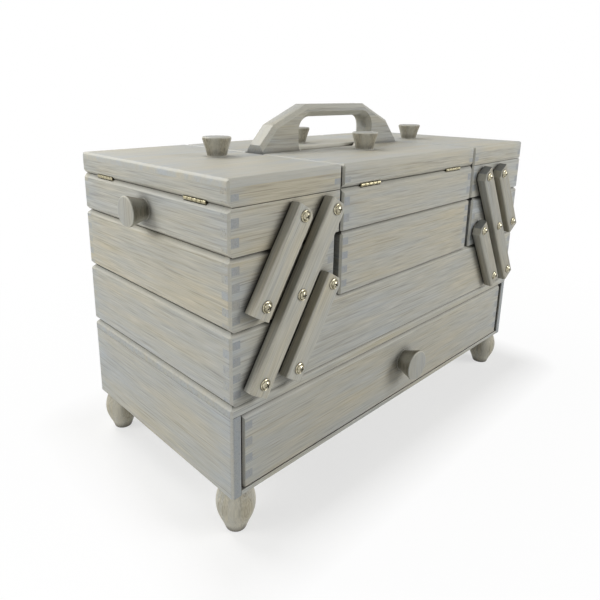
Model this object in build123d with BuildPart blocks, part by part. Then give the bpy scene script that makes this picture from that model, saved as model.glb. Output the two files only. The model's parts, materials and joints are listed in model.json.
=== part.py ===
"""Wooden cantilever sewing box.

A base with a drawer stands on four turned feet and carries a box of the full length.
A fixed tower with two lids and the carrying handle stands on the middle of that box.
On each side of the tower a middle tray and a lidded top tray swing out on pivoted arms.
X runs along the box, the front faces -Y, Z is up and the feet stand on Z = 0.
"""
from build123d import *
from math import atan2, cos, degrees, hypot, pi, sin
import os

os.makedirs("parts", exist_ok=True)

# Driving sizes, in millimetres
box_length = 450
box_depth = 220
foot_height = 41
base_height = 79.5
bottom_box_height = 58.5
middle_tray_height = 55.5
top_tray_height = 35
lid_height = 20
tower_length = 214.6

# Boards, panels and their edges
board = 9
plywood = 4
groove_depth = 4
panel_rise = 3
lid_panel = 6
edge_chamfer = 3.5
corner_chamfer = 1.8
lid_edge_chamfer = 1.8

# Flats round a turned knob and round a small fastener. They stand for the round, and keep the facets few.
turned_sides = 20
fastener_sides = 8

# Clearances between pieces that move past each other
tier_gap = 0.3
top_tray_gap = 2
middle_tray_gap = 7.5
lid_slot_gap = 1
drawer_side_gap = 3
drawer_top_gap = 2
drawer_floor_gap = 0.3
drawer_recess = 1
drawer_back_gap = 3

# Fingers in each corner joint, always an odd number
bottom_box_fingers = 9
middle_tray_fingers = 9
top_tray_fingers = 5
lid_fingers = 3
drawer_fingers = 9

# Swing arms and the screws they turn on
arm_width = 19
arm_thickness = 9.3
arm_foot_overhang = 10
arm_head_overhang = 6.5
arm_bevel = 1.2
arm_clip = 5.5
arm_spacing = 36
arm_lean_run = 37.6
lowest_pivot_inset = 23.6
lowest_pivot_height = 15.5
middle_pivot_height = 17.7
top_pivot_height = 22.9
screw_radius = 2
screw_bite = 7
screw_head_radius = 3.6
screw_crown_radius = 2.1
screw_head_height = 2
cup_radius = 4.8
cup_height = 1.2
spacer_radius = 7
spacer_thickness = 1.2
arm_side_play = 0.1
arm_bore_play = 0.08

# Lid hinges, let into the V groove between lid and tray
hinge_length = 28
hinge_offset = 69
hinge_knuckles = 3
knuckle_radius = 1.7
knuckle_gap = 0.2
hinge_pin_radius = 0.8
hinge_pin_play = 0.05
hinge_pin_inset = 2.5
leaf_thickness = 0.9
leaf_width = 6
mortise_play = 0.3

# Handle board
handle_thickness = 22
handle_rise = 44
handle_half_length = 105.5
handle_shoulder_rise = 25
handle_shoulder_half = 89
handle_top_half = 45
handle_end_rise = 7
handle_bevel = 4
grip_half_length = 53.5
grip_top_wall = 12
grip_depth_below_lids = 5
grip_corner = 14
grip_bevel = 5

# Turned knobs and feet
knob_radius = 12.8
knob_neck_radius = 8.8
knob_height = 17.2
knob_rim = 2
drawer_knob_radius = 17
drawer_knob_neck_radius = 10.5
drawer_knob_height = 20.3
side_lid_knob_x = 150
tower_lid_knob_y = 47
foot_inset = 15
foot_bulge = 5.2
foot_steps = 6
foot_top_radius = 12
foot_ankle_radius = 10.2
foot_ankle_height = 5.5
foot_sole_radius = 9

# Levels, from the floor up
base_bottom_z = foot_height
base_top_z = base_bottom_z + base_height
bottom_box_top_z = base_top_z + bottom_box_height
middle_tray_top_z = bottom_box_top_z + middle_tray_height
top_tray_top_z = middle_tray_top_z + top_tray_height
lid_top_z = top_tray_top_z + lid_height

half_length = box_length / 2
half_depth = box_depth / 2
tower_half = tower_length / 2

# Pivots of the left arms, as (x, z). The middle pivot of the long arm lies on its middle.
lower_pivot_z = base_top_z + lowest_pivot_height
middle_pivot_z = bottom_box_top_z + middle_pivot_height
upper_pivot_z = middle_tray_top_z + top_pivot_height
long_lower = (lowest_pivot_inset - half_length, lower_pivot_z)
long_middle = (long_lower[0] + arm_lean_run, middle_pivot_z)
long_upper = (long_middle[0] + arm_lean_run, upper_pivot_z)
short_low_lower = (long_lower[0] + arm_spacing, lower_pivot_z)
short_low_upper = (long_middle[0] + arm_spacing, middle_pivot_z)
short_high_lower = (long_middle[0] - arm_spacing, middle_pivot_z)
short_high_upper = (long_upper[0] - arm_spacing, upper_pivot_z)

bottom_box_pivots = (long_lower, short_low_lower)
middle_tray_pivots = (short_high_lower, long_middle, short_low_upper)
top_tray_pivots = (short_high_upper, long_upper)

corner = (Align.CENTER, Align.CENTER, Align.MIN)


def block(x_min, x_max, y_min, y_max, z_min, z_max, top_chamfer=0):
    """The outline that a finished box is trimmed to, with its corners and its top edge chamfered."""
    with BuildPart() as body:
        with Locations(((x_min + x_max) / 2, (y_min + y_max) / 2, z_min)):
            Box(x_max - x_min, y_max - y_min, z_max - z_min, align=corner)
        if top_chamfer:
            chamfer(body.edges().group_by(Axis.Z)[-1], top_chamfer)
        with BuildSketch(Plane.XY.offset(z_min)) as outline:
            with Locations(((x_min + x_max) / 2, (y_min + y_max) / 2)):
                Rectangle(x_max - x_min, y_max - y_min)
            chamfer(outline.vertices(), corner_chamfer)
        extrude(amount=z_max - z_min, mode=Mode.INTERSECT)
    return body.part


def groove_cut(side, at, centre, length, z):
    """A bar of square section set on its edge, which cuts both chamfers of a V groove at height z."""
    reach = edge_chamfer * 2**0.5
    with BuildPart() as bar:
        if side == "x":
            with Locations(Location((at, centre, z), (0, 45, 0))):
                Box(reach, length, reach)
        else:
            with Locations(Location((centre, at, z), (45, 0, 0))):
                Box(length, reach, reach)
    return bar.part


def finger_levels(z_min, height, fingers):
    """Heights of the middles of the fingers, from the lowest up."""
    pitch = height / fingers
    return [z_min + pitch * (index + 0.5) for index in range(fingers)]


def finger_boards(x_min, x_max, y_min, y_max, z_min, height, fingers, trim, cuts=()):
    """Front and back boards, and the two end boards whose fingers fill their notches."""
    x_mid = (x_min + x_max) / 2
    y_mid = (y_min + y_max) / 2
    ends_x = (x_min + board / 2, x_max - board / 2)
    rows_y = (y_min + board / 2, y_max - board / 2)
    levels = finger_levels(z_min, height, fingers)
    corners = [(x, y) for x in ends_x for y in rows_y]
    with BuildPart() as long_boards:
        with Locations(*[(x_mid, y, z_min) for y in rows_y]):
            Box(x_max - x_min, board, height, align=corner)
        with Locations(*[(x, y, z) for x, y in corners for z in levels[1::2]]):
            Box(board, board, height / fingers, mode=Mode.SUBTRACT)
        for cut in cuts:
            add(cut, mode=Mode.SUBTRACT)
        add(trim, mode=Mode.INTERSECT)
    with BuildPart() as end_boards:
        with Locations(*[(x, y_mid, z_min) for x in ends_x]):
            Box(board, y_max - y_min, height, align=corner)
        with Locations(*[(x, y, z) for x, y in corners for z in levels[0::2]]):
            Box(board, board, height / fingers, mode=Mode.SUBTRACT)
        for cut in cuts:
            add(cut, mode=Mode.SUBTRACT)
        add(trim, mode=Mode.INTERSECT)
    return long_boards, end_boards


def bottom_panel(x_min, x_max, y_min, y_max, z_min):
    """The plywood bottom, which lies in a groove all round the inside of the boards."""
    inset = board - groove_depth
    with BuildPart() as panel:
        with Locations(((x_min + x_max) / 2, (y_min + y_max) / 2, z_min + panel_rise)):
            Box(x_max - x_min - 2 * inset, y_max - y_min - 2 * inset, plywood, align=corner)
    return panel


def save(node, label):
    """Name one node and write it."""
    node.label = label
    export_step(node, f"parts/{label}.step")


# Base: two sides between a top and a bottom board, with a back let in between the sides
with BuildPart() as base_top:
    with Locations((0, 0, base_top_z - board)):
        Box(box_length, box_depth, board, align=corner)
    add(
        block(-half_length, half_length, -half_depth, half_depth, base_bottom_z, base_top_z, edge_chamfer),
        mode=Mode.INTERSECT,
    )
save(base_top.part, "base_top")

side_height = base_height - board
with BuildPart() as base_sides:
    with Locations(*[(x, 0, base_bottom_z) for x in (board / 2 - half_length, half_length - board / 2)]):
        Box(board, box_depth, side_height, align=corner)
    add(
        block(-half_length, half_length, -half_depth, half_depth, base_bottom_z, base_top_z),
        mode=Mode.INTERSECT,
    )
save(base_sides.part, "base_sides")

inner_length = box_length - 2 * board
with BuildPart() as base_bottom:
    with Locations((0, 0, base_bottom_z)):
        Box(inner_length, box_depth, board, align=corner)
save(base_bottom.part, "base_bottom")

opening_height = base_height - 2 * board
with BuildPart() as base_back:
    with Locations((0, half_depth - board / 2, base_bottom_z + board)):
        Box(inner_length, board, opening_height, align=corner)
save(base_back.part, "base_back")

def tapered(wide, narrow, length, sides):
    """One stretch of a turned piece, with flats for its round, which narrows upwards from Z = 0."""
    with BuildPart() as stretch:
        with BuildSketch():
            RegularPolygon(wide, sides)
        extrude(amount=length, taper=degrees(atan2((wide - narrow) * cos(pi / sides), length)))
    return stretch.part


def turned(profile, sides):
    """A turned piece from the (radius, height) pairs of its profile.
    A stretch that widens upwards is one that narrows, set on its head."""
    stretches = []
    for ends in zip(profile, profile[1:]):
        (narrow, end), (wide, start) = sorted(ends)
        turn = (0, 0, 0) if end > start else (180, 0, 0)
        stretches.append(Location((0, 0, start), turn) * tapered(wide, narrow, abs(end - start), sides))
    with BuildPart() as piece:
        add(stretches)
    return piece.part


# Turned feet, each with a round belly above an ankle and a small sole
belly_height = foot_height - foot_ankle_height
foot_profile = [(foot_sole_radius, 0)]
for step in range(foot_steps + 1):
    share = step / foot_steps
    radius = foot_ankle_radius + (foot_top_radius - foot_ankle_radius) * share + foot_bulge * sin(pi * share)
    foot_profile.append((radius, foot_ankle_height + belly_height * share))
foot = turned(foot_profile, turned_sides)
foot_x = half_length - foot_inset
foot_y = half_depth - foot_inset
with BuildPart() as feet:
    with GridLocations(2 * foot_x, 2 * foot_y, 2, 2):
        add(foot)
save(feet.part, "feet")

# Drawer: four finger-jointed boards round a plywood bottom
drawer_x = half_length - board - drawer_side_gap
drawer_front_y = drawer_recess - half_depth
drawer_back_y = half_depth - board - drawer_back_gap
drawer_z = base_bottom_z + board + drawer_floor_gap
drawer_height = opening_height - drawer_floor_gap - drawer_top_gap
drawer_top_z = drawer_z + drawer_height
drawer_block = block(-drawer_x, drawer_x, drawer_front_y, drawer_back_y, drawer_z, drawer_top_z)
drawer_panel = bottom_panel(-drawer_x, drawer_x, drawer_front_y, drawer_back_y, drawer_z)
drawer_edge = groove_cut("y", drawer_front_y, 0, 2 * drawer_x, drawer_top_z)
drawer_long, drawer_sides = finger_boards(
    -drawer_x,
    drawer_x,
    drawer_front_y,
    drawer_back_y,
    drawer_z,
    drawer_height,
    drawer_fingers,
    drawer_block,
    [drawer_panel.part, drawer_edge],
)
drawer_rows = drawer_long.part.solids().sort_by(Axis.Y)
save(drawer_rows[0], "drawer_front")
save(drawer_rows[-1], "drawer_back")
save(drawer_sides.part, "drawer_sides")
save(drawer_panel.part, "drawer_bottom")


def knob(neck, rim, height):
    """A knob that widens from its neck to a straight rim and a flat face, standing on Z = 0."""
    return turned([(neck, 0), (rim, height - knob_rim), (rim, height)], turned_sides)


small_knob = knob(knob_neck_radius, knob_radius, knob_height)
drawer_middle_z = drawer_z + drawer_height / 2
with BuildPart() as drawer_knob:
    with Locations(Location((0, drawer_front_y, drawer_middle_z), (90, 0, 0))):
        add(knob(drawer_knob_neck_radius, drawer_knob_radius, drawer_knob_height))
save(drawer_knob.part, "drawer_knob")


def pilot_holes(pivots, both_sides=False):
    """Rods as thick as the screws, that cut their holes through the front and back boards."""
    with BuildPart() as rods:
        with BuildSketch(Plane.XZ.offset(half_depth)):
            with Locations(*pivots):
                RegularPolygon(screw_radius, fastener_sides)
        extrude(amount=-screw_bite)
        mirror(about=Plane.XZ)
        if both_sides:
            mirror(about=Plane.YZ)
    return rods.part


# Bottom box, over the full length
bottom_panel_part = bottom_panel(-half_length, half_length, -half_depth, half_depth, base_top_z)
bottom_cuts = [
    bottom_panel_part.part,
    pilot_holes(bottom_box_pivots, both_sides=True),
    groove_cut("x", -half_length, 0, box_depth, base_top_z),
    groove_cut("x", half_length, 0, box_depth, base_top_z),
]
bottom_long, bottom_ends = finger_boards(
    -half_length,
    half_length,
    -half_depth,
    half_depth,
    base_top_z,
    bottom_box_height,
    bottom_box_fingers,
    block(-half_length, half_length, -half_depth, half_depth, base_top_z, bottom_box_top_z, edge_chamfer),
    bottom_cuts,
)
save(bottom_long.part, "bottom_box_long_boards")
save(bottom_ends.part, "bottom_box_end_boards")
save(bottom_panel_part.part, "bottom_box_bottom")


# Hinges. Each is modelled along Y with its pin on the origin, its fixed leaf below and its lid leaf above,
# both reaching towards +X. The pin is riveted into the knuckles of the fixed leaf.
knuckle_pitch = hinge_length / hinge_knuckles
knuckle_length = knuckle_pitch - knuckle_gap
knuckle_room = knuckle_radius + mortise_play


def hinge_leaf(first, up):
    """A leaf with every second knuckle, starting with the one numbered first."""
    level = tier_gap / 2 if up else -tier_gap / 2
    leaf_align = (Align.MIN, Align.CENTER, Align.MIN if up else Align.MAX)
    with BuildPart() as leaf:
        with Locations((knuckle_room, 0, level)):
            Box(leaf_width, hinge_length, leaf_thickness, align=leaf_align)
        for index in range(first, hinge_knuckles, 2):
            middle = (index + 0.5) * knuckle_pitch - hinge_length / 2
            with Locations((0, middle, level)):
                Box(knuckle_room + leaf_thickness, knuckle_length, leaf_thickness, align=leaf_align)
            with BuildSketch(Plane.XZ.offset(-middle)):
                RegularPolygon(knuckle_radius, fastener_sides)
            extrude(amount=knuckle_length / 2, both=True)
    return leaf.part


with BuildPart() as fixed_leaf:
    add(hinge_leaf(0, up=False))
    with BuildSketch(Plane.XZ):
        RegularPolygon(hinge_pin_radius, fastener_sides)
    extrude(amount=hinge_length / 2, both=True)
with BuildPart() as lid_leaf:
    add(hinge_leaf(1, up=True))
    with BuildSketch(Plane.XZ):
        RegularPolygon(hinge_pin_radius + hinge_pin_play, fastener_sides, major_radius=False)
    extrude(amount=hinge_length / 2, both=True, mode=Mode.SUBTRACT)
with BuildPart() as mortise:
    Box(2 * knuckle_room, hinge_length + mortise_play, 2 * knuckle_room)
    Box(
        knuckle_room + leaf_width + mortise_play / 2,
        hinge_length + mortise_play,
        2 * leaf_thickness + tier_gap,
        align=(Align.MIN, Align.CENTER, Align.CENTER),
    )
hinge_mortise = mortise.part


def hinge_places(side):
    """Where the two hinges of a lid lie, for the edge named by side."""
    z = top_tray_top_z + tier_gap / 2
    turns = {"left": 0, "front": 90, "right": 180, "back": 270}
    reach = half_length if side in ("left", "right") else half_depth
    places = []
    for offset in (-hinge_offset, hinge_offset):
        along = {
            "left": (hinge_pin_inset - reach, offset, z),
            "right": (reach - hinge_pin_inset, offset, z),
            "front": (offset, hinge_pin_inset - reach, z),
            "back": (offset, reach - hinge_pin_inset, z),
        }
        places.append(Location(along[side], (0, 0, turns[side])))
    return places


def at_hinges(shape, side):
    """Copies of a shape at both hinges of one edge."""
    with BuildPart() as copies:
        with Locations(*hinge_places(side)):
            add(shape)
    return copies.part


# Screws. Each is modelled along Z with the face of the board at Z = 0, and is one with the collar that keeps
# its arm off the board and with the cup washer under its head.
arm_back = spacer_thickness + arm_side_play
arm_front = arm_back + arm_thickness
cup_seat = arm_front + arm_side_play
head_seat = cup_seat + cup_height
crown = head_seat + screw_head_height
screw_head = [(cup_radius, cup_seat), (screw_head_radius, head_seat), (screw_crown_radius, crown)]
with BuildPart() as screw:
    add(turned([(screw_radius, -screw_bite), (screw_radius, head_seat)], fastener_sides))
    add(turned([(spacer_radius, 0), (spacer_radius, spacer_thickness)], fastener_sides))
    add(turned(screw_head, fastener_sides))


def pivot_screws(pivots, sides):
    """The screws on front and back at every pivot, on the left (-1), the right (1) or both."""
    with BuildPart() as screws:
        for side in sides:
            for face in (Plane.XZ.offset(half_depth), Plane.XZ.rotated((0, 0, 180)).offset(half_depth)):
                for x, z in pivots:
                    along = -side * x if face.z_dir.Y < 0 else side * x
                    with Locations(face.location * Location((along, z, 0))):
                        add(screw.part)
    return screws.part


# Trays, mirrored about the tower
for side, name in ((-1, "left"), (1, "right")):
    outer = half_length
    middle_inner = tower_half + middle_tray_gap
    top_inner = tower_half + top_tray_gap
    middle_x = sorted((side * outer, side * middle_inner))
    top_x = sorted((side * outer, side * top_inner))
    side_pivots = [[(-side * x, z) for x, z in group] for group in (middle_tray_pivots, top_tray_pivots)]

    middle_z = bottom_box_top_z + tier_gap
    middle_bottom = bottom_panel(*middle_x, -half_depth, half_depth, middle_z)
    middle_long, middle_ends = finger_boards(
        *middle_x,
        -half_depth,
        half_depth,
        middle_z,
        middle_tray_top_z - middle_z,
        middle_tray_fingers,
        block(*middle_x, -half_depth, half_depth, middle_z, middle_tray_top_z, edge_chamfer),
        [
            middle_bottom.part,
            pilot_holes(side_pivots[0]),
            groove_cut("x", side * outer, 0, box_depth, middle_z),
        ],
    )
    save(middle_long.part, f"{name}_middle_tray_long_boards")
    save(middle_ends.part, f"{name}_middle_tray_end_boards")
    save(middle_bottom.part, f"{name}_middle_tray_bottom")
    save(pivot_screws(middle_tray_pivots, [side]), f"{name}_middle_tray_screws")

    top_z = middle_tray_top_z + tier_gap
    top_bottom = bottom_panel(*top_x, -half_depth, half_depth, top_z)
    top_long, top_ends = finger_boards(
        *top_x,
        -half_depth,
        half_depth,
        top_z,
        top_tray_top_z - top_z,
        top_tray_fingers,
        block(*top_x, -half_depth, half_depth, top_z, top_tray_top_z),
        [
            top_bottom.part,
            pilot_holes(side_pivots[1]),
            groove_cut("x", side * outer, 0, box_depth, top_z),
            groove_cut("x", side * outer, 0, box_depth, top_tray_top_z),
            at_hinges(hinge_mortise, name),
        ],
    )
    save(top_long.part, f"{name}_top_tray_long_boards")
    save(top_ends.part, f"{name}_top_tray_end_boards")
    save(top_bottom.part, f"{name}_top_tray_bottom")
    save(pivot_screws(top_tray_pivots, [side]), f"{name}_top_tray_screws")

    with BuildPart() as pull_knob:
        middle_of_face = (side * outer, 0, (top_z + top_tray_top_z) / 2)
        with Locations(Location(middle_of_face, (0, side * 90, 0))):
            add(small_knob)
    save(pull_knob.part, f"{name}_pull_knob")
save(pivot_screws(bottom_box_pivots, [-1, 1]), "bottom_box_screws")

# Tower: a lower and an upper pair of boards, joined by two end boards of the full height
tower_z = bottom_box_top_z
lower_tower = finger_boards(
    -tower_half,
    tower_half,
    -half_depth,
    half_depth,
    tower_z,
    middle_tray_height,
    middle_tray_fingers,
    block(-tower_half, tower_half, -half_depth, half_depth, tower_z, middle_tray_top_z, edge_chamfer),
)
upper_tower = finger_boards(
    -tower_half,
    tower_half,
    -half_depth,
    half_depth,
    middle_tray_top_z,
    top_tray_height,
    top_tray_fingers,
    block(-tower_half, tower_half, -half_depth, half_depth, middle_tray_top_z, top_tray_top_z),
    [
        groove_cut("y", -half_depth, 0, tower_length, top_tray_top_z),
        groove_cut("y", half_depth, 0, tower_length, top_tray_top_z),
        at_hinges(hinge_mortise, "front"),
        at_hinges(hinge_mortise, "back"),
    ],
)
tower_rows = Compound(children=[lower_tower[0].part, upper_tower[0].part])
save(tower_rows, "tower_long_boards")
with BuildPart() as tower_ends:
    add(lower_tower[1].part)
    add(upper_tower[1].part)
save(tower_ends.part, "tower_end_boards")

# Handle: one board that divides the tower, rises between its lids and carries the grip
tower_inside = tower_half - board
handle_top_z = lid_top_z + handle_rise
with BuildPart() as handle:
    with BuildSketch(Plane.XZ.offset(-handle_thickness / 2)):
        with BuildLine():
            Polyline(
                (-handle_half_length, top_tray_top_z),
                (-handle_half_length, lid_top_z + handle_end_rise),
                (-handle_shoulder_half, lid_top_z + handle_shoulder_rise),
                (-handle_top_half, handle_top_z),
                (handle_top_half, handle_top_z),
                (handle_shoulder_half, lid_top_z + handle_shoulder_rise),
                (handle_half_length, lid_top_z + handle_end_rise),
                (handle_half_length, top_tray_top_z),
                close=True,
            )
        make_face()
    extrude(amount=handle_thickness)
    outline = handle.edges().filter_by(Axis.Y, reverse=True)
    chamfer(outline.filter_by(lambda edge: edge.center().Z > lid_top_z + handle_end_rise), handle_bevel)
    with BuildSketch(Plane.XZ.offset(-handle_thickness / 2)):
        grip_low = lid_top_z - grip_depth_below_lids
        grip_high = handle_top_z - grip_top_wall
        with Locations((0, (grip_low + grip_high) / 2)):
            RectangleRounded(2 * grip_half_length, grip_high - grip_low, grip_corner)
    extrude(amount=handle_thickness, mode=Mode.SUBTRACT)
    rim = handle.edges().filter_by(Axis.Y, reverse=True)
    rim = rim.filter_by(lambda edge: abs(edge.center().X) < grip_half_length + 1)
    rim = rim.filter_by(lambda edge: grip_low - 1 < edge.center().Z < grip_high + 1)
    chamfer(rim, grip_bevel)
    with Locations((0, 0, tower_z)):
        Box(2 * tower_inside, handle_thickness, top_tray_top_z - tower_z, align=corner)
save(handle.part, "handle")


def lid(x_min, x_max, y_min, y_max, edge, at, centre, length, hinge_side):
    """Frame boards and the panel glued on them, with the groove and mortises of the hinge edge."""
    frame_z = top_tray_top_z + tier_gap
    frame_top = lid_top_z - lid_panel
    cuts = [groove_cut(edge, at, centre, length, frame_z), at_hinges(hinge_mortise, hinge_side)]
    long_boards, end_boards = finger_boards(
        x_min,
        x_max,
        y_min,
        y_max,
        frame_z,
        frame_top - frame_z,
        lid_fingers,
        block(x_min, x_max, y_min, y_max, frame_z, frame_top),
        cuts,
    )
    panel = block(x_min, x_max, y_min, y_max, frame_top, lid_top_z, lid_edge_chamfer)
    return Compound(children=[long_boards.part, end_boards.part]), panel


tower_lid_y = handle_thickness / 2 + lid_slot_gap
side_lid_inner = tower_half + top_tray_gap
lid_places = {
    "left": (-half_length, -side_lid_inner, -half_depth, half_depth, "x", -half_length, 0, box_depth),
    "right": (side_lid_inner, half_length, -half_depth, half_depth, "x", half_length, 0, box_depth),
    "front": (-tower_half, tower_half, -half_depth, -tower_lid_y, "y", -half_depth, 0, tower_length),
    "back": (-tower_half, tower_half, tower_lid_y, half_depth, "y", half_depth, 0, tower_length),
}
lid_knobs = {
    "left": (-side_lid_knob_x, 0),
    "right": (side_lid_knob_x, 0),
    "front": (0, -tower_lid_knob_y),
    "back": (0, tower_lid_knob_y),
}
for name, place in lid_places.items():
    frame, panel = lid(*place, name)
    save(frame, f"{name}_lid_frame")
    save(panel, f"{name}_lid_panel")
    with BuildPart() as lid_knob:
        with Locations((*lid_knobs[name], lid_top_z)):
            add(small_knob)
    save(lid_knob.part, f"{name}_lid_knob")
    save(at_hinges(lid_leaf.part, name), f"{name}_lid_hinge_leaves")

for name in ("left", "right"):
    save(at_hinges(fixed_leaf.part, name), f"{name}_top_tray_hinge_leaves")
tower_leaves = [at_hinges(fixed_leaf.part, edge) for edge in ("front", "back")]
save(Compound(children=tower_leaves), "tower_hinge_leaves")

# Arms. A left arm leans towards the tower, with its top inner corner clipped.
lean = atan2(upper_pivot_z - lower_pivot_z, 2 * arm_lean_run)
pivot_distance = hypot(upper_pivot_z - lower_pivot_z, 2 * arm_lean_run) / 2


def arm_pair(lower, spans, side):
    """The front and the back arm of one corner pair, each with a hole at every pivot."""
    length = spans * pivot_distance
    start = Plane(
        origin=(lower[0], -half_depth - arm_back, lower[1]),
        x_dir=(cos(lean), 0, sin(lean)),
        z_dir=(0, -1, 0),
    )
    with BuildPart() as arms:
        with BuildSketch(start):
            with BuildLine():
                Polyline(
                    (-arm_foot_overhang, -arm_width / 2),
                    (length + arm_head_overhang - arm_clip, -arm_width / 2),
                    (length + arm_head_overhang, arm_clip - arm_width / 2),
                    (length + arm_head_overhang, arm_width / 2),
                    (-arm_foot_overhang, arm_width / 2),
                    close=True,
                )
            make_face()
        extrude(amount=arm_thickness)
        front = arms.faces().sort_by(Axis.Y)[0]
        long_edges = front.edges().filter_by(lambda edge: edge.length > length * 0.8)
        chamfer(long_edges, arm_bevel)
        with BuildSketch(start):
            with Locations(*[(index * pivot_distance, 0) for index in range(spans + 1)]):
                RegularPolygon(screw_radius + arm_bore_play, fastener_sides, major_radius=False)
        extrude(amount=arm_thickness, mode=Mode.SUBTRACT)
        mirror(about=Plane.XZ)
    if side > 0:
        return mirror(arms.part, about=Plane.YZ)
    return arms.part


for side, name in ((-1, "left"), (1, "right")):
    save(arm_pair(long_lower, 2, side), f"{name}_long_arms")
    save(arm_pair(short_low_lower, 1, side), f"{name}_lower_arms")
    save(arm_pair(short_high_lower, 1, side), f"{name}_upper_arms")

print("swing from closed to open, degrees:", round(2 * (90 - degrees(lean)), 2))
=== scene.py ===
"""Looks of a wooden sewing box: a grey-washed wooden box whose trays swing out on screwed arms."""
import json
from math import atan2, cos, pi, radians, sin

import bmesh
import bpy
from mathutils import Matrix, Vector

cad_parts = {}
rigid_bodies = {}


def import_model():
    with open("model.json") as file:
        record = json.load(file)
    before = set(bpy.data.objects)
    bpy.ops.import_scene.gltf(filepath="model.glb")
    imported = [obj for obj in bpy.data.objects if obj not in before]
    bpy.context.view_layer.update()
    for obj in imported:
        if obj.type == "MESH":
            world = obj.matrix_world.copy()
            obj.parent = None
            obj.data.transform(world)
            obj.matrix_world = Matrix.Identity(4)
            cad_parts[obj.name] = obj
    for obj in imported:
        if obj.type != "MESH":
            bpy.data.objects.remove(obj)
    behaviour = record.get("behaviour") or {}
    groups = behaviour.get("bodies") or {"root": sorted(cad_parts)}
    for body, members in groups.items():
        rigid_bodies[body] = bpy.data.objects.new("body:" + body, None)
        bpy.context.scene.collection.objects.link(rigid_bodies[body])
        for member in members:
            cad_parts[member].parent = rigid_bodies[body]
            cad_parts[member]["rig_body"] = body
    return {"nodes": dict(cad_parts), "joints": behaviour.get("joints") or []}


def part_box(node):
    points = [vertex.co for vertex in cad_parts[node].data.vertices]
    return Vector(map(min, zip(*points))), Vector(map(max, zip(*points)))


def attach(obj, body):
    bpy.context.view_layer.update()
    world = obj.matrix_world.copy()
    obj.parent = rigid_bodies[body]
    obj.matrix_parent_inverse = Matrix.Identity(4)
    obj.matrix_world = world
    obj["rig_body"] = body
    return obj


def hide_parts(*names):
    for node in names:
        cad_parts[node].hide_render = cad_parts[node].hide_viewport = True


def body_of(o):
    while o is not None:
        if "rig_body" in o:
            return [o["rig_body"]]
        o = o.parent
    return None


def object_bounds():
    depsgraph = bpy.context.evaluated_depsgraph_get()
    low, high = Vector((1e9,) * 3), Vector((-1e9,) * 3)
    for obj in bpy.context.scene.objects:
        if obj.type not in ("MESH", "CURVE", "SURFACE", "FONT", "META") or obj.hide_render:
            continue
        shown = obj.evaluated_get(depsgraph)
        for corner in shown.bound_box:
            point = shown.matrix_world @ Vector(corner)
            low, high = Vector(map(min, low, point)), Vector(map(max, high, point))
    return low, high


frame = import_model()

cad_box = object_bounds()
mm = 0.001

# Camera. It looks at the box from the front left, a little above its lids, at close range, so the
# front corner comes forward and both long faces run away from it. Its place comes from the edges of the
# box in the picture.
camera_place = Vector((-441.2, -384.0, 344.4)) * mm
camera_turn = radians(-43.20)
camera_rise = radians(14.64)
camera_roll = radians(0.385)
camera_lens = 32.33
camera_shift = (0.0439, -0.1114)

backward = Vector((
    sin(camera_turn) * cos(camera_rise),
    -cos(camera_turn) * cos(camera_rise),
    sin(camera_rise),
))
level_right = (-backward).cross(Vector((0, 0, 1))).normalized()
level_up = backward.cross(level_right)
right = cos(camera_roll) * level_right + sin(camera_roll) * level_up
upward = cos(camera_roll) * level_up - sin(camera_roll) * level_right
camera_data = bpy.data.cameras.new("camera")
camera_data.sensor_width = 36
camera_data.lens = camera_lens
camera_data.shift_x, camera_data.shift_y = camera_shift
camera_data.clip_start = 0.01
camera = bpy.data.objects.new("camera", camera_data)
camera.matrix_world = Matrix((
    (right.x, upward.x, backward.x, camera_place.x),
    (right.y, upward.y, backward.y, camera_place.y),
    (right.z, upward.z, backward.z, camera_place.z),
    (0, 0, 0, 1),
))
bpy.context.scene.collection.objects.link(camera)
bpy.context.scene.camera = camera
bpy.context.scene.view_settings.view_transform = "Standard"


# Room. A white studio: the world lights evenly from all round, and shows pure white to the camera and
# in anything glossy.
def linear(code):
    """An sRGB hex colour such as #A8A69C, as the linear colour that a shader takes."""
    parts = [int(code[i : i + 2], 16) / 255 for i in (1, 3, 5)]
    return [p / 12.92 if p <= 0.04045 else ((p + 0.055) / 1.055) ** 2.4 for p in parts] + [1]


def add_node(owner, kind, inputs=None, **settings):
    """Adds a node, sets it up, and fills its inputs, which are given by name or number. A node that is given
    as a value is linked by its first output."""
    made = owner.node_tree.nodes.new(kind)
    for key, value in settings.items():
        setattr(made, key, value)
    for key, value in (inputs or {}).items():
        if isinstance(value, bpy.types.Node):
            value = value.outputs[0]
        if isinstance(value, bpy.types.NodeSocket):
            owner.node_tree.links.new(value, made.inputs[key])
        else:
            made.inputs[key].default_value = value
    return made


room_level = 0.03
room = bpy.data.worlds.new("studio")
room.use_nodes = True
room.node_tree.nodes.clear()
ray = add_node(room, "ShaderNodeLightPath")
glossy = add_node(room, "ShaderNodeMath", {0: ray.outputs["Is Camera Ray"], 1: ray.outputs["Is Glossy Ray"]})
seen = add_node(
    room, "ShaderNodeMath", {0: glossy, 1: ray.outputs["Is Transmission Ray"]}, use_clamp=True
)
level = add_node(room, "ShaderNodeMapRange", {"Value": seen, "To Min": room_level, "To Max": 1})
glow = add_node(room, "ShaderNodeBackground", {"Color": linear("#FFFFFF"), "Strength": level})
add_node(room, "ShaderNodeOutputWorld", {"Surface": glow})
bpy.context.scene.world = room


# Lamps. Four large soft boxes: two on the left, the stronger one further back, which throws the pull knob's
# shadow forward and down, one above the back, and one in front on the right, so that the left sides of the
# arms stay in shade.
lamp_aim = Vector((0, 0, 0.15))


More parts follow.
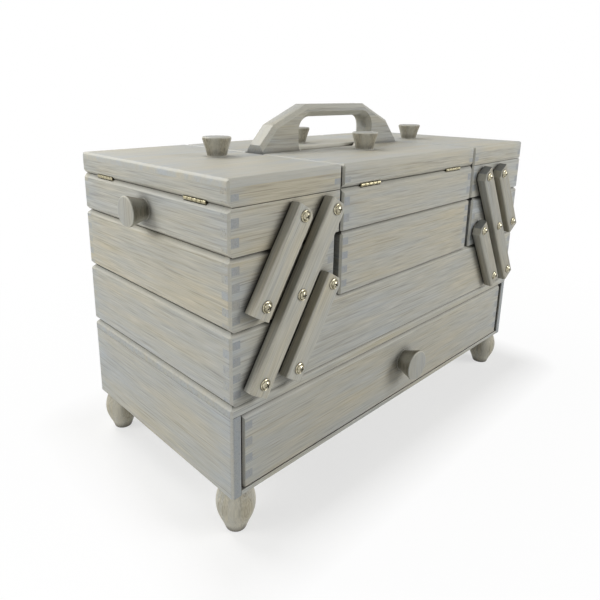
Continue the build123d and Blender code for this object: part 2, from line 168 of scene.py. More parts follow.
def soft_box(name, place, size, power):
    """A square lamp that faces the middle of the box."""
    data = bpy.data.lights.new(name, "AREA")
    data.size = size
    data.energy = power
    lamp = bpy.data.objects.new(name, data)
    lamp.location = place
    lamp.rotation_euler = (lamp_aim - Vector(place)).to_track_quat("-Z", "Y").to_euler()
    bpy.context.scene.collection.objects.link(lamp)


soft_box("rear_left_lamp", (-1.7, 0.7, 1.1), 1.0, 19)
soft_box("left_lamp", (-2.0, -0.2, 0.8), 1.0, 5.5)
soft_box("upper_lamp", (-0.3, 1.2, 1.6), 1.2, 24)
soft_box("front_lamp", (1.2, -1.8, 1.0), 1.2, 35)

# Floor. A white paper sweep. The camera sees it mixed with white, more so away from the box, so that only
# the soft shadow of the box stays.
floor_size = 12
floor_white = 0.62
contact_reach = 0.05
contact_fade = 0.34
far_reach = 0.5
floor_mesh = bpy.data.meshes.new("floor")
floor_mesh.from_pydata(
    [(x * floor_size / 2, y * floor_size / 2, 0) for x, y in ((-1, -1), (1, -1), (1, 1), (-1, 1))],
    [],
    [(0, 1, 2, 3)],
)
floor = bpy.data.objects.new("floor", floor_mesh)
bpy.context.scene.collection.objects.link(floor)
paper = bpy.data.materials.new("white_paper")
paper.use_nodes = True
paper.node_tree.nodes.clear()
ray = add_node(paper, "ShaderNodeLightPath")
glossy = add_node(paper, "ShaderNodeMath", {0: ray.outputs["Is Camera Ray"], 1: ray.outputs["Is Glossy Ray"]})
spot = add_node(paper, "ShaderNodeTexCoord")
box_reach = (cad_box[1].x, -cad_box[0].y, 0)
folded = add_node(paper, "ShaderNodeVectorMath", {0: spot.outputs["Object"]}, operation="ABSOLUTE")
beyond = add_node(paper, "ShaderNodeVectorMath", {0: folded, 1: box_reach}, operation="SUBTRACT")
outside = add_node(paper, "ShaderNodeVectorMath", {0: beyond, 1: (0, 0, 0)}, operation="MAXIMUM")
away = add_node(paper, "ShaderNodeVectorMath", {0: outside}, operation="LENGTH")
near = add_node(
    paper,
    "ShaderNodeMapRange",
    {
        "Value": away.outputs["Value"],
        "From Max": contact_reach,
        "To Min": floor_white,
        "To Max": floor_white + contact_fade,
    },
)
far = add_node(
    paper,
    "ShaderNodeMapRange",
    {
        "Value": away.outputs["Value"],
        "From Min": contact_reach,
        "From Max": far_reach,
        "To Max": 1 - floor_white - contact_fade,
    },
)
plain = add_node(paper, "ShaderNodeMath", {0: near, 1: far})
share = add_node(
    paper, "ShaderNodeMath", {0: glossy, 1: plain}, operation="MULTIPLY", use_clamp=True
)
matt = add_node(paper, "ShaderNodeBsdfDiffuse", {"Color": linear("#F4F4F2")})
white = add_node(paper, "ShaderNodeEmission", {"Color": linear("#FFFFFF"), "Strength": 1})
both = add_node(paper, "ShaderNodeMixShader", {0: share, 1: matt, 2: white})
add_node(paper, "ShaderNodeOutputMaterial", {"Surface": both})
floor_mesh.materials.append(paper)

# Boards. Planed softwood, 9 mm thick, brushed with a thin grey wash that lies softly uneven: bluish where it
# pooled near the ends of a board, beige where it was rubbed off. The grain runs along each board, so the
# finger joints show slightly darker end grain. The long edges are rounded by sanding.
patch_length = 130 * mm
patch_width = 24 * mm
patch_warmth = 0.24
streak_length = 85 * mm
streak_width = 3.4 * mm
streak_warmth = 0.15
pore_length = 30 * mm
pore_width = 0.65 * mm
pore_depth = 0.15 * mm
line_length = 60 * mm
line_width = 1.7 * mm
line_darkness = 0.2
blot_length = 26 * mm
blot_width = 8 * mm
blot_coolness = 0.42
end_fibre = 0.9 * mm
shade_search_reach = 10 * mm
painted_shade_darkness = 0.92
pooled_length = 34 * mm
sanded_edge = 0.6 * mm
shortest_sanded = 12 * mm
board_thickness = 9 * mm
noise_ends = {"From Min": 0.3, "From Max": 0.7}
grain_along = {"X": (0, 0, 0), "Y": (0, 0, -pi / 2), "Z": (0, pi / 2, 0)}


def washed_wood(name, turn, warmth=0.0, tone=1.0, life=1.0, ends=None, end_mix=0.6):
    """Grey-washed wood whose grain runs along X after the turn. Warmth shifts it to beige, or to blue where
    it is negative, and life is how lively its streaks are. Ends is (axis, middle, half length) of the board
    in the frame, and end_mix is how plainly its end grain shows."""
    wood = bpy.data.materials.new(name)
    wood.use_nodes = True
    wood.node_tree.nodes.clear()

    def math(operation, first, second=0.0):
        return add_node(wood, "ShaderNodeMath", {0: first, 1: second}, operation=operation).outputs[0]

    def spread(value, low, high, to_low, to_high):
        reach = {"Value": value, "From Min": low, "From Max": high, "To Min": to_low, "To Max": to_high}
        return add_node(wood, "ShaderNodeMapRange", reach).outputs[0]

    def mixed(share, first, second):
        return add_node(wood, "ShaderNodeMix", {0: share, 6: first, 7: second}, data_type="RGBA").outputs[2]

    # The grain's own frame: X runs along it, and it is shifted by the name, so that no two boards are alike.
    here = add_node(wood, "ShaderNodeTexCoord")
    seed = sum(ord(letter) * (k + 3) for k, letter in enumerate(name)) % 97 / 7
    shift = (seed, seed * 0.37, seed * 0.61)
    spots = {"Vector": here.outputs["Object"], "Rotation": turn}
    turned_place = add_node(wood, "ShaderNodeMapping", spots, vector_type="POINT")
    place = add_node(wood, "ShaderNodeMapping", {"Vector": turned_place, "Location": shift})
    ways = {"Vector": here.outputs["Normal"], "Rotation": turn}
    facing = add_node(wood, "ShaderNodeMapping", ways, vector_type="NORMAL")
    way = add_node(wood, "ShaderNodeSeparateXYZ", {0: facing})
    along, across, high = [
        add_node(wood, "ShaderNodeMath", {0: way.outputs[axis]}, operation="ABSOLUTE") for axis in (0, 1, 2)
    ]

    def drawn_out(length, width, detail, bend=0.0):
        """A noise that is drawn out along the grain."""
        scale = (1 / length, 1 / width, 1 / width)
        scaled = add_node(wood, "ShaderNodeMapping", {"Vector": place, "Scale": scale})
        wanted = {"Vector": scaled, "Scale": 1, "Detail": detail, "Roughness": 0.55, "Distortion": bend}
        return add_node(wood, "ShaderNodeTexNoise", wanted)

    # The wash: broad patches and fine streaks from bluish to beige, and bluish blots where it pooled.
    broad = drawn_out(patch_length, patch_width, 2)
    reach = noise_ends | {"Value": broad, "To Min": -patch_warmth, "To Max": patch_warmth}
    patches = add_node(wood, "ShaderNodeMapRange", reach)
    narrow = drawn_out(streak_length, streak_width, 3, 0.2)
    reach = noise_ends | {"Value": narrow, "To Min": -streak_warmth * life, "To Max": streak_warmth * life}
    streaks = add_node(wood, "ShaderNodeMapRange", reach)
    drift = add_node(wood, "ShaderNodeMath", {0: patches, 1: streaks}, operation="ADD")
    warm = add_node(wood, "ShaderNodeMath", {0: drift, 1: 0.5 + warmth * 0.2}, operation="ADD")
    if ends:
        axis, middle, half = ends
        spot = add_node(wood, "ShaderNodeSeparateXYZ", {0: here.outputs["Object"]})
        offset = add_node(wood, "ShaderNodeMath", {0: spot.outputs[axis], 1: middle}, operation="SUBTRACT")
        distance = add_node(wood, "ShaderNodeMath", {0: offset}, operation="ABSOLUTE")
        near_end = {"Value": distance, "From Min": half - pooled_length, "From Max": half}
        pooled = add_node(wood, "ShaderNodeMapRange", near_end | {"To Max": blot_coolness})
        blots = {"Value": drawn_out(blot_length, blot_width, 2), "From Min": 0.35, "From Max": 0.65}
        blotted = add_node(wood, "ShaderNodeMapRange", blots)
        cooler = add_node(wood, "ShaderNodeMath", {0: pooled, 1: blotted}, operation="MULTIPLY")
        warm = add_node(wood, "ShaderNodeMath", {0: warm, 1: cooler}, operation="SUBTRACT")
    tint = add_node(wood, "ShaderNodeValToRGB", {0: warm})
    tint.color_ramp.elements[0].position = 0.05
    tint.color_ramp.elements[0].color = linear("#A2A6A7")
    tint.color_ramp.elements[1].position = 0.95
    tint.color_ramp.elements[1].color = linear("#B1AA95")
    tint.color_ramp.elements.new(0.5).color = linear("#A8A79E")

    # The grain under it: fine pores, and thin dark lines of the summer wood.
    pores = drawn_out(pore_length, pore_width, 3)
    lines = drawn_out(line_length, line_width, 2, 0.1)
    reach = {"Value": lines, "From Min": 0.34, "From Max": 0.46, "To Min": 1 - line_darkness * life}
    dark_lines = add_node(wood, "ShaderNodeMapRange", reach)
    reach = {"Value": pores, "To Min": (1 - 0.21 * life) * tone, "To Max": (1 + 0.17 * life) * tone}
    fine = add_node(wood, "ShaderNodeMapRange", noise_ends | reach)
    shade = add_node(wood, "ShaderNodeMath", {0: fine, 1: dark_lines}, operation="MULTIPLY")
    face = add_node(wood, "ShaderNodeVectorMath", {0: tint, "Scale": shade}, operation="SCALE")

    # Pale edges, partly worn and partly a painted highlight on the rounded arrises, the darker end grain, and
    # painted shade in the crevices.
    # Where the surface turns off the board's flat faces, on the rounded edges, the colour is mixed towards
    # pale: partly wear, partly a painted highlight.
    wider = add_node(wood, "ShaderNodeMath", {0: across, 1: high}, operation="MAXIMUM")
    flatness = add_node(wood, "ShaderNodeMath", {0: wider, 1: along}, operation="MAXIMUM")
    reach = {"Value": flatness, "From Min": 0.97, "From Max": 0.8, "To Max": 0.5}
    edge_wear_and_highlight = add_node(wood, "ShaderNodeMapRange", reach)
    layers = {0: edge_wear_and_highlight, 6: face, 7: linear("#CAC8BC")}
    worn_and_lit = add_node(wood, "ShaderNodeMix", layers, data_type="RGBA")
    fibres = drawn_out(end_fibre * 3, end_fibre, 2)
    layers = {0: fibres, 6: linear("#767C80"), 7: linear("#90959A")}
    end_grain = add_node(wood, "ShaderNodeMix", layers, data_type="RGBA")
    reach = {"Value": along, "From Min": 0.8, "From Max": 0.95, "To Max": end_mix}
    end_share = add_node(wood, "ShaderNodeMapRange", reach)
    layers = {0: end_share, 6: worn_and_lit.outputs[2], 7: end_grain.outputs[2]}
    sawn = add_node(wood, "ShaderNodeMix", layers, data_type="RGBA")
    # Painted shade: where ambient occlusion finds the surface closed in, in gaps, grooves and corners, the
    # colour is darkened towards near black.
    open_share = add_node(wood, "ShaderNodeAmbientOcclusion", {"Distance": shade_search_reach}, samples=6)
    reach = {"Value": open_share.outputs["AO"], "From Min": 0.3, "From Max": 0.8}
    painted_shade = add_node(wood, "ShaderNodeMapRange", reach | {"To Min": painted_shade_darkness, "To Max": 0})
    layers = {0: painted_shade, 6: sawn.outputs[2], 7: linear("#2E2C25")}
    colour = add_node(wood, "ShaderNodeMix", layers, data_type="RGBA")

    # A thin matt wash on open pores, which are a little rougher than the wood between them.
    relief = add_node(wood, "ShaderNodeBump", {"Height": pores, "Strength": 0.2, "Distance": pore_depth})
    rough = add_node(wood, "ShaderNodeMapRange", noise_ends | {"Value": pores, "To Min": 0.62, "To Max": 0.5})
    finish = {"Base Color": colour.outputs[2], "Roughness": rough, "IOR": 1.5, "Normal": relief}
    surface = add_node(wood, "ShaderNodeBsdfPrincipled", finish)
    add_node(wood, "ShaderNodeOutputMaterial", {"Surface": surface})
    return wood


def stand_for(node, shape, materials):
    """Makes the piece that is shown for a node: it rides on the node's body, and the node itself is hidden.
    """
    mesh = bpy.data.meshes.new(f"{node}_made")
    shape.to_mesh(mesh)
    shape.free()
    for material in materials:
        mesh.materials.append(material)
    piece = bpy.data.objects.new(f"{node}_made", mesh)
    bpy.context.scene.collection.objects.link(piece)
    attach(piece, body_of(frame["nodes"][node])[0])
    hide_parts(node)
    return piece


def sanded(node, materials, rounding=sanded_edge, kind_at=None, moved=None, glued_at=None):
    """Shows a node with its long edges rounded. Kind_at tells which of two kinds of board fills a point, and
    moved gives a corner's place where the drawn board is thinner or taller. Edges at the height glued_at stay
    sharp, because they close a glued joint."""
    drawn = bmesh.new()
    for kind in (0, 1) if kind_at else (0,):
        board = bmesh.new()
        board.from_mesh(frame["nodes"][node].data)
        board.normal_update()
        if kind_at:
            depth = 0.05 * mm
            others = [
                face
                for face in board.faces
                if kind_at(face.calc_center_median() - face.normal * depth) != kind
            ]
            bmesh.ops.delete(board, geom=others, context="FACES")
        bmesh.ops.remove_doubles(board, verts=board.verts, dist=0.002 * mm)
        if moved:
            for corner in board.verts:
                corner.co = moved(corner.co)
        bmesh.ops.dissolve_limit(board, angle_limit=radians(0.5), verts=board.verts, edges=board.edges)
        board.normal_update()
        sharp = [
            edge
            for edge in board.edges
            if edge.is_manifold
            and edge.is_convex
            and edge.calc_face_angle() > radians(20)
            and edge.calc_length() > shortest_sanded
            and not (glued_at and all(abs(corner.co.z - glued_at) < 0.1 * mm for corner in edge.verts))
        ]
        bmesh.ops.bevel(
            board, geom=sharp, offset=rounding, segments=2, profile=0.5, affect="EDGES", clamp_overlap=True
        )
        for face in board.faces:
            face.material_index = kind
        part = bpy.data.meshes.new("board")
        board.to_mesh(part)
        board.free()
        drawn.from_mesh(part)
        bpy.data.meshes.remove(part)
    return stand_for(node, drawn, materials)


def board_ends(node, axis):
    """Where a board lies along its grain, for the wash that pooled near its ends."""
    low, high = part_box(node)
    return axis, (low[axis] + high[axis]) / 2, (high[axis] - low[axis]) / 2


def wooden(node, grain, warmth, tone, life=1.0, end_mix=None):
    """Washed wood for one node, with its grain along X or Y. Ends facing the sides took less of the wash."""
    ends = board_ends(node, "XYZ".index(grain))
    if end_mix is None:
        end_mix = 0.25 if grain == "X" else 0.6
    return washed_wood(f"washed_{node}", grain_along[grain], warmth, tone, life, ends, end_mix)


# Warmth and tone of the long boards, then of the end boards, from the bottom up.
tiers = {
    "bottom_box": (0.1, 1.02, 0.1, 1.02),
    "left_middle_tray": (0.8, 1.0, 1.4, 1.02),
    "right_middle_tray": (0.2, 1.0, 0.2, 1.0),
    "left_top_tray": (1.8, 1.02, 0.0, 1.0),
    "right_top_tray": (0.0, 1.0, 0.0, 1.0),
    "tower": (0.5, 1.0, 0.0, 1.0),
}
for tier, (row_warmth, row_tone, end_warmth, end_tone) in tiers.items():
    rows = f"{tier}_long_boards"
    ends = f"{tier}_end_boards"
    sanded(rows, [wooden(rows, "X", row_warmth, row_tone)])
    sanded(ends, [wooden(ends, "Y", end_warmth, end_tone)])

# Base. Two sides, a back and a thin bottom under a top board, glued and washed like the boards above. The
# bottom is drawn 4 mm thick, which makes the opening taller. The back board still ends where a 9 mm bottom
# would lie, so a slit of 5 mm stays open above the bottom at the back.
bottom_thinning = 5 * mm
thin_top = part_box("base_bottom")[1].z - bottom_thinning
sanded("base_top", [wooden("base_top", "X", 0.6, 1.0)])
sanded("base_sides", [wooden("base_sides", "Y", -0.2, 1.0)])
sanded("base_back", [wooden("base_back", "X", 0.0, 1.0)])
sanded(
    "base_bottom",
    [wooden("base_bottom", "X", 0.3, 1.0)],
    moved=lambda spot: Vector((spot.x, spot.y, min(spot.z, thin_top))),
)

# Drawer. Finger-jointed boards, warmer in colour than the sides, which reach down to the thin bottom of the
# base. Their groove is drawn lower with them, so the plywood bottom lies just above it and not in it.
drawer_low, drawer_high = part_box("drawer_front")


def lowered(spot):
    """Draws a point of the drawer's boards lower, in step with its height, so the fingers stay even."""
    share = (drawer_high.z - spot.z) / (drawer_high.z - drawer_low.z)
    return Vector((spot.x, spot.y, spot.z - bottom_thinning * share))


sanded("drawer_front", [wooden("drawer_front", "X", 0.5, 1.0)], moved=lowered)
sanded("drawer_back", [wooden("drawer_back", "X", 0.5, 1.0)], moved=lowered)
sanded("drawer_sides", [wooden("drawer_sides", "Y", 0.3, 1.0)], moved=lowered)

# Bottoms. Birch plywood, 4 mm thick, unwashed and warmer in colour than the boards. They are let into a
# groove round each tray and box, apart from the drawer's.
trays = [f"{side}_{tier}_tray" for side in ("left", "right") for tier in ("middle", "top")]
for carrier in ("drawer", "bottom_box", *trays):
    panel = f"{carrier}_bottom"
    plies = wooden(panel, "X", 0.9, 1.12)
    for place in frame["nodes"][panel].material_slots:
        place.material = plies

# Lids. A finger-jointed frame of four low boards, with a panel glued on top whose edge is rounded over. The
# edges between frame and panel stay sharp, because the glued joint doesn't show.
lid_fingers = 3
panel_rounding = 0.9 * mm


def frame_kind(lid):
    """Tells the long boards (0) of a lid's frame from its end boards (1), finger by finger."""
    low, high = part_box(f"{lid}_lid_frame")

    def kind_at(spot):
        in_ends = min(spot.x - low.x, high.x - spot.x) < board_thickness
        in_rows = min(spot.y - low.y, high.y - spot.y) < board_thickness
        if in_ends and in_rows:
            return int((spot.z - low.z) / (high.z - low.z) * lid_fingers) % 2
        return int(in_ends)

    return kind_at


# Warmth of the long boards and the end boards of each frame.
lid_warmth = {"left": (1.8, 0.9), "right": (1.0, 0.4), "front": (1.2, 0.4), "back": (0.2, 0.2)}
for lid, (row_warmth, end_warmth) in lid_warmth.items():
    node = f"{lid}_lid_frame"
    rows = washed_wood(
        f"washed_{lid}_lid_rows", grain_along["X"], row_warmth, 0.95, ends=board_ends(node, 0), end_mix=0.25
    )
    ends = washed_wood(f"washed_{lid}_lid_ends", grain_along["Y"], end_warmth, ends=board_ends(node, 1))
    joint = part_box(node)[1].z
    sanded(node, [rows, ends], kind_at=frame_kind(lid), glued_at=joint)
    panel = f"{lid}_lid_panel"
    sanded(panel, [wooden(panel, "X", 0.4, 1.05, 0.35, 0)], panel_rounding, glued_at=joint)

# Handle. One board of 22 mm, sawn to a low arch with a long grip hole, and rounded wherever a hand holds it.
# It runs down through the tower as its divider.
handle_rounding = 1.6 * mm
sanded("handle", [wooden("handle", "X", 0.6, 0.95, 1.0, 0.15)], handle_rounding)

# Arms. Straight bars of the same washed wood with bevelled long edges, which lean towards the tower. The
# left ones are a little paler than the boards and the right ones darker.
arm_rounding = 0.4 * mm
arm_tone = {"left": 1.07, "right": 0.8}
arm_warmth = {"long": 0.5, "lower": 0.8, "upper": 1.2}
pivots = {joint["name"]: Vector(joint["pos_m"]) for joint in frame["joints"] if "pos_m" in joint}
for side in ("left", "right"):
    low_pivot = pivots[f"{side}_swing"]
    run = pivots[f"{side}_middle_tray_pivot"] - low_pivot
    lean = atan2(run.z, run.x)
    for kind, warmth in arm_warmth.items():
        arms = f"{side}_{kind}_arms"
        sanded(arms, [washed_wood(f"washed_{arms}", (0, lean, 0), warmth, arm_tone[side])], arm_rounding)

# Knobs and feet. Turned from the same softwood and washed. Their curved sides are more olive and painted
# darker as shade, the pull knobs' sides darkest, and a knob's flat face has a paler rim, partly rubbed and
# partly a painted highlight on its rounded edge.
turned_steps = 56
knob_neck = 0.69
neck_lip = 0.3 * mm
neck_share = 0.06
flare_share = 0.8
flare_bend = 1.15
knob_edge = 1.0 * mm
drawer_knob_rim = 15.3 * mm
drawer_knob_height = 17.5 * mm


def turn_on_lathe(shape, profile, matrix=None, material=0, steps=turned_steps):
    """Adds a closed turned solid to a shape, from (radius, height) pairs from the bottom to the top."""
    rings = []
    for radius, height in profile:
        ring = []
        for k in range(steps):
            turn = 2 * pi * k / steps
            spot = Vector((radius * cos(turn), radius * sin(turn), height))
            ring.append(shape.verts.new(matrix @ spot if matrix else spot))
        rings.append(ring)
    for under, over in zip(rings, rings[1:]):
        for k in range(steps):
            after = (k + 1) % steps
            side = shape.faces.new((under[k], under[after], over[after], over[k]))
            side.smooth = True
            side.material_index = material
    for ring, turned_over in ((rings[0], True), (rings[-1], False)):
        cap = shape.faces.new(ring[::-1] if turned_over else ring)
        cap.material_index = material


def crisp(piece, angle=32):
    """Keeps the arrises of a turned piece sharp where they turn by more than the angle."""
    piece.data.shade_smooth()
    piece.data.set_sharp_from_angle(angle=radians(angle))


knob_axes = {
    "left_lid_knob": (0, 0, 1),
    "right_lid_knob": (0, 0, 1),
    "front_lid_knob": (0, 0, 1),
    "back_lid_knob": (0, 0, 1),
    "left_pull_knob": (-1, 0, 0),
    "right_pull_knob": (1, 0, 0),
    "drawer_knob": (0, -1, 0),
}
# The side materials are painted darker as shade, the pull knobs' sides darker still.
shaded_side_wood = washed_wood("washed_knob_side", grain_along["Z"], 2.2, 0.66, 1.8, None, 0)
face_wood = washed_wood("washed_knob_face", grain_along["Z"], -0.3, 0.9, 0.8, None, 0)
shaded_pull_wood = washed_wood("washed_pull_side", grain_along["Z"], 2.2, 0.46, 1.8, None, 0)
# The rim is paler, partly rubbed and partly a painted highlight on the rounded edge (the material keeps its
# old name).
rubbed_and_lit_rim_wood = washed_wood("rubbed_knob_rim", grain_along["Z"], 0.3, 1.12, 0.8, None, 0)
for node, axis in knob_axes.items():
    axis = Vector(axis)
    low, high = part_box(node)
    size = high - low
    height = abs(size.dot(axis))
    rim = max(size) / 2 if height < max(size) else min(size) / 2
    foot = (low + high) / 2 - axis * height / 2
    if node == "drawer_knob":
        rim, height = drawer_knob_rim, drawer_knob_height
    matrix = Matrix.Translation(foot) @ axis.to_track_quat("Z", "Y").to_matrix().to_4x4()
    neck = knob_neck * rim
    profile = [(neck + neck_lip, 0), (neck, neck_share * height)]
    for t in range(1, 7):
        flare = neck + (rim - neck) * (t / 6) ** flare_bend
        profile.append((flare, (neck_share + flare_share * t / 6) * height))
    profile += [(rim, height - knob_edge)]
    arc = [pi / 2 * t / 4 for t in range(1, 5)]
    profile += [(rim - knob_edge * (1 - cos(a)), height - knob_edge * (1 - sin(a))) for a in arc]
    shape = bmesh.new()
    turn_on_lathe(shape, profile, matrix)
    shape.normal_update()
    for face in shape.faces:
        outward = face.normal.dot(axis)
        face.material_index = 1 if outward > 0.99 else 2 if outward > 0.15 else 0
    crisp(stand_for(node, shape, [shaded_side_wood if axis.z else shaded_pull_wood, face_wood, rubbed_and_lit_rim_wood]))

foot_wood = washed_wood("washed_foot", grain_along["Z"], 1.5, 0.93, 1.7, None, 0.2)
foot_low, foot_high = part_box("feet")
# Radii and heights of the turned profile in mm: the toe, and the bulb above it, which swells and draws in.
bulb_steps = 14
foot_profile = [(7.6, 0), (8.6, 0.5), (9.0, 1.3), (9.6, 3.2), (10.4, 5.2)]
for t in range(1, bulb_steps + 1):
    bulb_radius = 10.2 + 1.8 * t / bulb_steps + 5.2 * sin(pi * t / bulb_steps)
    foot_profile.append((bulb_radius, 5.5 + 35.5 * t / bulb_steps))
foot_reach = max(radius for radius, _ in foot_profile) * mm
shape = bmesh.new()
for x in (foot_low.x + foot_reach, foot_high.x - foot_reach):
    for y in (foot_low.y + foot_reach, foot_high.y - foot_reach):
        profile = [(radius * mm, height * mm) for radius, height in foot_profile]
        turn_on_lathe(shape, profile, Matrix.Translation((x, y, 0)))
crisp(stand_for("feet", shape, [foot_wood]))


# Screws. Nickel-plated steel, with a domed head and a cross recess, in a pressed cup washer. A dull collar
# keeps the arm off the board. The plating is bright, and the cross recess and the ring under the head are
# painted dark as shade.
stain_size = 1.6 * mm
stain_dulling = 0.12


def plated_metal(name, light, dark, roughness):
    """Plated metal with faint stains, which break up its bright reflections."""
    metal = bpy.data.materials.new(name)
    metal.use_nodes = True
    metal.node_tree.nodes.clear()
    here = add_node(metal, "ShaderNodeTexCoord")
    wanted = {"Vector": here.outputs["Object"], "Scale": 1 / stain_size, "Detail": 3}
    stain = add_node(metal, "ShaderNodeTexNoise", wanted)
    reach = {"Value": stain, "From Min": 0.35, "From Max": 0.65}
    share = add_node(metal, "ShaderNodeMapRange", reach)
    tones = {0: share, 6: linear(dark), 7: linear(light)}
    colour = add_node(metal, "ShaderNodeMix", tones, data_type="RGBA")
    reach |= {"To Min": roughness + stain_dulling, "To Max": roughness}
    dulled = add_node(metal, "ShaderNodeMapRange", reach)
    finish = {"Base Color": colour.outputs[2], "Metallic": 1.0, "Roughness": dulled}
    surface = add_node(metal, "ShaderNodeBsdfPrincipled", finish)
    add_node(metal, "ShaderNodeOutputMaterial", {"Surface": surface})
    return metal


nickel = plated_metal("nickel_plated_steel", "#C2BCA6", "#7A745F", 0.18)
# Painted shade: a dark metal for the cross recess and the ring under the head.
recess_shade_metal = plated_metal("recess_shade_nickel", "#3B372C", "#28251D", 0.55)
collar_metal = plated_metal("zinc_plated_collar", "#6E6B62", "#4C4A43", 0.5)
screw_reach = -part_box("bottom_box_screws")[0].y
board_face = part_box("bottom_box_long_boards")[1].y
head_height = 3.2 * mm
seat = screw_reach - board_face - head_height
arm_spacing = 36 * mm
# Turned profiles as radii and heights in mm. The gap is the thin ring between the head and its cup, painted
# dark as shade.
cup_profile = [(4.5, 0), (4.75, 0.25), (4.7, 0.6), (4.35, 1.0), (3.95, 1.2), (3.7, 1.05), (3.6, 0.8)]
head_profile = [(3.5, 0.8), (3.5, 1.15), (3.35, 1.6), (2.95, 2.15), (2.3, 2.65), (1.5, 3.0), (0.6, 3.17)]
gap_profile = [(3.6, 0.75), (3.62, 0.82)]
collar_profile = [(6.6, 0), (7, 0.3), (7, 0.9), (6.6, 1.2)]
shank_radius = 2 * mm
shank_depth = 7 * mm
shank_rise = 0.8 * mm
recess_length = 4.4 * mm
recess_width = 0.9 * mm
recess_depth = 1.5 * mm


def box_into(shape, size, middle):
    """Adds a box to a shape."""
    made = bmesh.ops.create_cube(shape, size=1.0)
    for corner in made["verts"]:
        corner.co = Vector(corner.co[k] * size[k] + middle[k] for k in range(3))


head_shape = bmesh.new()
turn_on_lathe(head_shape, [(r * mm, h * mm + seat) for r, h in head_profile], steps=32)
bmesh.ops.recalc_face_normals(head_shape, faces=head_shape.faces)
head_mesh = bpy.data.meshes.new("screw_head")
head_shape.to_mesh(head_mesh)
head_shape.free()
cross_shape = bmesh.new()
for long_way in (0, 1):
    size = [recess_width, recess_width, 2 * recess_depth]
    size[long_way] = recess_length
    box_into(cross_shape, size, (0, 0, seat + head_height))
bmesh.ops.recalc_face_normals(cross_shape, faces=cross_shape.faces)
cross_mesh = bpy.data.meshes.new("screw_cross")
cross_shape.to_mesh(cross_mesh)
cross_shape.free()
for mesh, material in ((head_mesh, nickel), (cross_mesh, recess_shade_metal)):
    mesh.materials.append(material)
head = bpy.data.objects.new("screw_head", head_mesh)
cross = bpy.data.objects.new("screw_cross", cross_mesh)
for tool in (head, cross):
    bpy.context.scene.collection.objects.link(tool)
cutting = head.modifiers.new("recess", "BOOLEAN")
cutting.operation = "DIFFERENCE"
cutting.object = cross
cutting.solver = "EXACT"
cutting.use_self = True
cutting.material_mode = "TRANSFER"
cut_head = bpy.data.meshes.new_from_object(head.evaluated_get(bpy.context.evaluated_depsgraph_get()))
cut_materials = [material.name for material in cut_head.materials]
for tool in (head, cross):
    bpy.data.objects.remove(tool)

one_screw = bmesh.new()
one_screw.from_mesh(cut_head)
for face in one_screw.faces:
    face.material_index = 1 if cut_materials[face.material_index] == recess_shade_metal.name else 0
shank = [(shank_radius, -shank_depth), (shank_radius, seat + shank_rise)]
turn_on_lathe(one_screw, shank, steps=24)
for profile, level, material, steps in (
    (cup_profile, seat, 0, 40),
    (gap_profile, seat, 1, 40),
    (collar_profile, 0, 2, turned_steps),
):
    rings = [(radius * mm, height * mm + level) for radius, height in profile]
    turn_on_lathe(one_screw, rings, material=material, steps=steps)
bmesh.ops.recalc_face_normals(one_screw, faces=one_screw.faces)
screw_mesh = bpy.data.meshes.new("one_screw")
one_screw.to_mesh(screw_mesh)
one_screw.free()


first_turn = 0.35
next_turn = 1.1
back_turn = 0.7


def driven(node, places):
    """All screws of one body, on the front and the back, each turned a little differently."""
    shape = bmesh.new()
    for k, (x, z) in enumerate(places):
        for back in (0, 1):
            outward = Vector((0, 1 if back else -1, 0))
            seated = Matrix.Translation((x, board_face * outward.y, z))
            facing = outward.to_track_quat("Z", "Y").to_matrix().to_4x4()
            turned = Matrix.Rotation(first_turn + next_turn * k + back_turn * back, 4, "Z")
            copy = screw_mesh.copy()
            copy.transform(seated @ facing @ turned)
            shape.from_mesh(copy)
            bpy.data.meshes.remove(copy)
    crisp(stand_for(node, shape, [nickel, recess_shade_metal, collar_metal]), 40)


bottom_screws = []
for side, sign in (("left", 1), ("right", -1)):
    spot = {
        name: pivots[f"{side}_{name}"]
        for name in ("swing", "lower_arms_pivot", "middle_tray_pivot", "top_tray_pivot", "upper_arms_pivot")
    }
    bottom_screws += [(spot[name].x, spot[name].z) for name in ("swing", "lower_arms_pivot")]
    middle = [(spot[name].x, spot[name].z) for name in ("upper_arms_pivot", "middle_tray_pivot")]
    middle.append((spot["middle_tray_pivot"].x + sign * arm_spacing, spot["middle_tray_pivot"].z))
    top = [(spot["top_tray_pivot"].x - sign * arm_spacing, spot["top_tray_pivot"].z)]
    top.append((spot["top_tray_pivot"].x, spot["top_tray_pivot"].z))
    driven(f"{side}_middle_tray_screws", middle)
    driven(f"{side}_top_tray_screws", top)
driven("bottom_box_screws", bottom_screws)

# Hinges. Small brass butt hinges with a pale plating, 28 mm long, let into the groove between lid and tray.
# Five rolled knuckles meet on a riveted pin. The small screws of the leaves aren't drawn.
brass = plated_metal("plated_brass", "#CBC4A6", "#857C5E", 0.25)
hinge_length = 28 * mm
knuckles = 5
knuckle_radius = 1.7 * mm
knuckle_gap = 0.7 * mm
pin_radius = 0.9 * mm
leaf_thickness = 0.9 * mm
leaf_width = 6 * mm
leaf_overlap = 0.2 * mm
leaf_gap = 0.15 * mm
knuckle_room = 2 * mm
knuckle_round = 0.3 * mm
# The turn of each lid's hinges about Z in degrees, and whether the two lie apart along Y or along X.
edges = {"left": (0, 1, 0), "front": (90, 0, 1), "right": (180, 1, 0), "back": (270, 0, 1)}


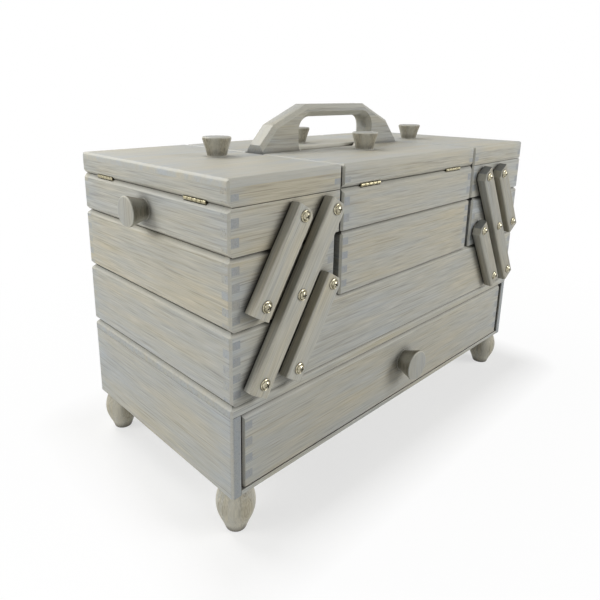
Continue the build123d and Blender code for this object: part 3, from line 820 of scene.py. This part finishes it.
def leaf_into(shape, place, first, up):
    """Adds one leaf with every second knuckle. Its pin lies along Y, and it reaches towards +X."""
    leaf = bmesh.new()
    level = (leaf_gap + leaf_thickness / 2) * (1 if up else -1)
    box_into(leaf, (leaf_width, hinge_length, leaf_thickness), (knuckle_room + leaf_width / 2, 0, level))
    pitch = hinge_length / knuckles
    for index in range(first, knuckles, 2):
        middle = (index + 0.5) * pitch - hinge_length / 2
        root = (knuckle_room / 2 + leaf_overlap, middle, level)
        box_into(leaf, (knuckle_room, pitch - knuckle_gap, leaf_thickness), root)
        half = (pitch - knuckle_gap) / 2
        along = Matrix.Translation((0, middle, 0)) @ Matrix.Rotation(-pi / 2, 4, "X")
        barrel = [(knuckle_radius - knuckle_round, -half), (knuckle_radius, knuckle_round - half)]
        barrel += [(knuckle_radius, half - knuckle_round), (knuckle_radius - knuckle_round, half)]
        turn_on_lathe(leaf, barrel, along, steps=20)
    if not up:
        along = Matrix.Rotation(-pi / 2, 4, "X")
        reach = hinge_length / 2
        turn_on_lathe(leaf, [(pin_radius, -reach), (pin_radius, reach)], along, material=1, steps=16)
    bmesh.ops.recalc_face_normals(leaf, faces=leaf.faces)
    part = bpy.data.meshes.new("leaf")
    leaf.to_mesh(part)
    leaf.free()
    part.transform(place)
    shape.from_mesh(part)
    bpy.data.meshes.remove(part)


hinge_offset = 69 * mm
fixed_leaves = {"left_top_tray": ("left",), "right_top_tray": ("right",), "tower": ("front", "back")}
dark_pin = plated_metal("dark_pin", "#4A4436", "#33302A", 0.5)


def hinge_places(lid):
    """Where the two hinges of a lid lie."""
    turn, along_y, along_x = edges[lid]
    step = Vector((along_x, along_y, 0)) * hinge_offset
    pin = pivots[f"{lid}_lid_hinge"]
    return [Matrix.Translation(pin + step * way) @ Matrix.Rotation(radians(turn), 4, "Z") for way in (-1, 1)]


for lid in edges:
    shape = bmesh.new()
    for place in hinge_places(lid):
        leaf_into(shape, place, 1, True)
    crisp(stand_for(f"{lid}_lid_hinge_leaves", shape, [brass, dark_pin]))
for carrier, lids in fixed_leaves.items():
    shape = bmesh.new()
    for lid in lids:
        for place in hinge_places(lid):
            leaf_into(shape, place, 0, False)
    crisp(stand_for(f"{carrier}_hinge_leaves", shape, [brass, dark_pin]))
